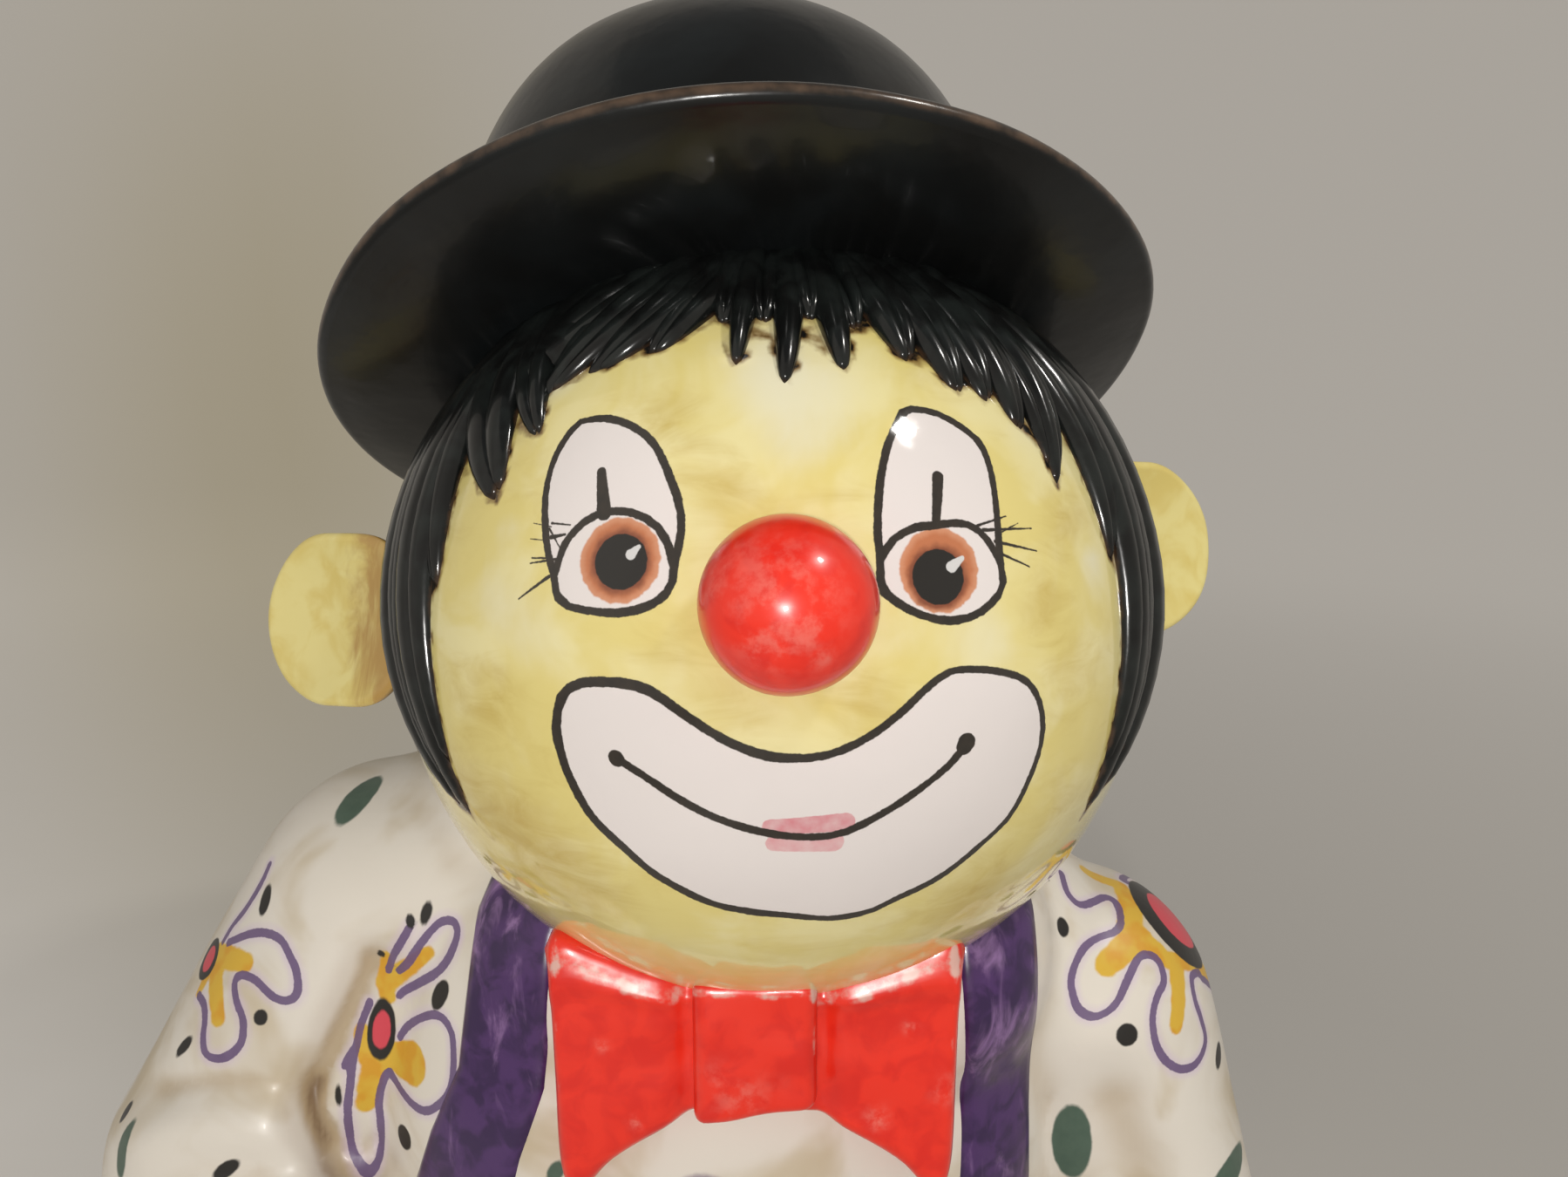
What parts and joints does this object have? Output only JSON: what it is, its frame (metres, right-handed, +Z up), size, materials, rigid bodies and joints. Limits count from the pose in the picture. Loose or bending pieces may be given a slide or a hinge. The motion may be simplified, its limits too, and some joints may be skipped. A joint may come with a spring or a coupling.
{
  "type": "ceramic clown figurine bust",
  "caption": "Glazed ceramic bust of a clown in a bowler hat, with a ball nose, cupped ears, modelled hair, bow tie, braces and a flowered shirt, cut flat below.",
  "frame": {"origin": "middle of the flat cut under the chest, below the centre of the head ball", "axes": "+Z up, -Y the way the face looks, +X towards the figure's left"},
  "size_m": [0.1357, 0.0976, 0.139],
  "materials": {
    "face_glaze": "glossy fired glaze over pale yellow and white underglaze paint with black pen lines",
    "black_glaze": "glossy black glaze on hat and hair, brownish where thin",
    "red_glaze": "glossy red glaze, pale where the brush left it thin",
    "shirt_glaze": "glossy clear glaze over cream body with painted flowers and dots",
    "purple_glaze": "glossy brushed purple glaze, streaked with lavender"
  },
  "bodies": {
    "root": {"clown_bust": "face_glaze"}
  },
  "joints": []
}
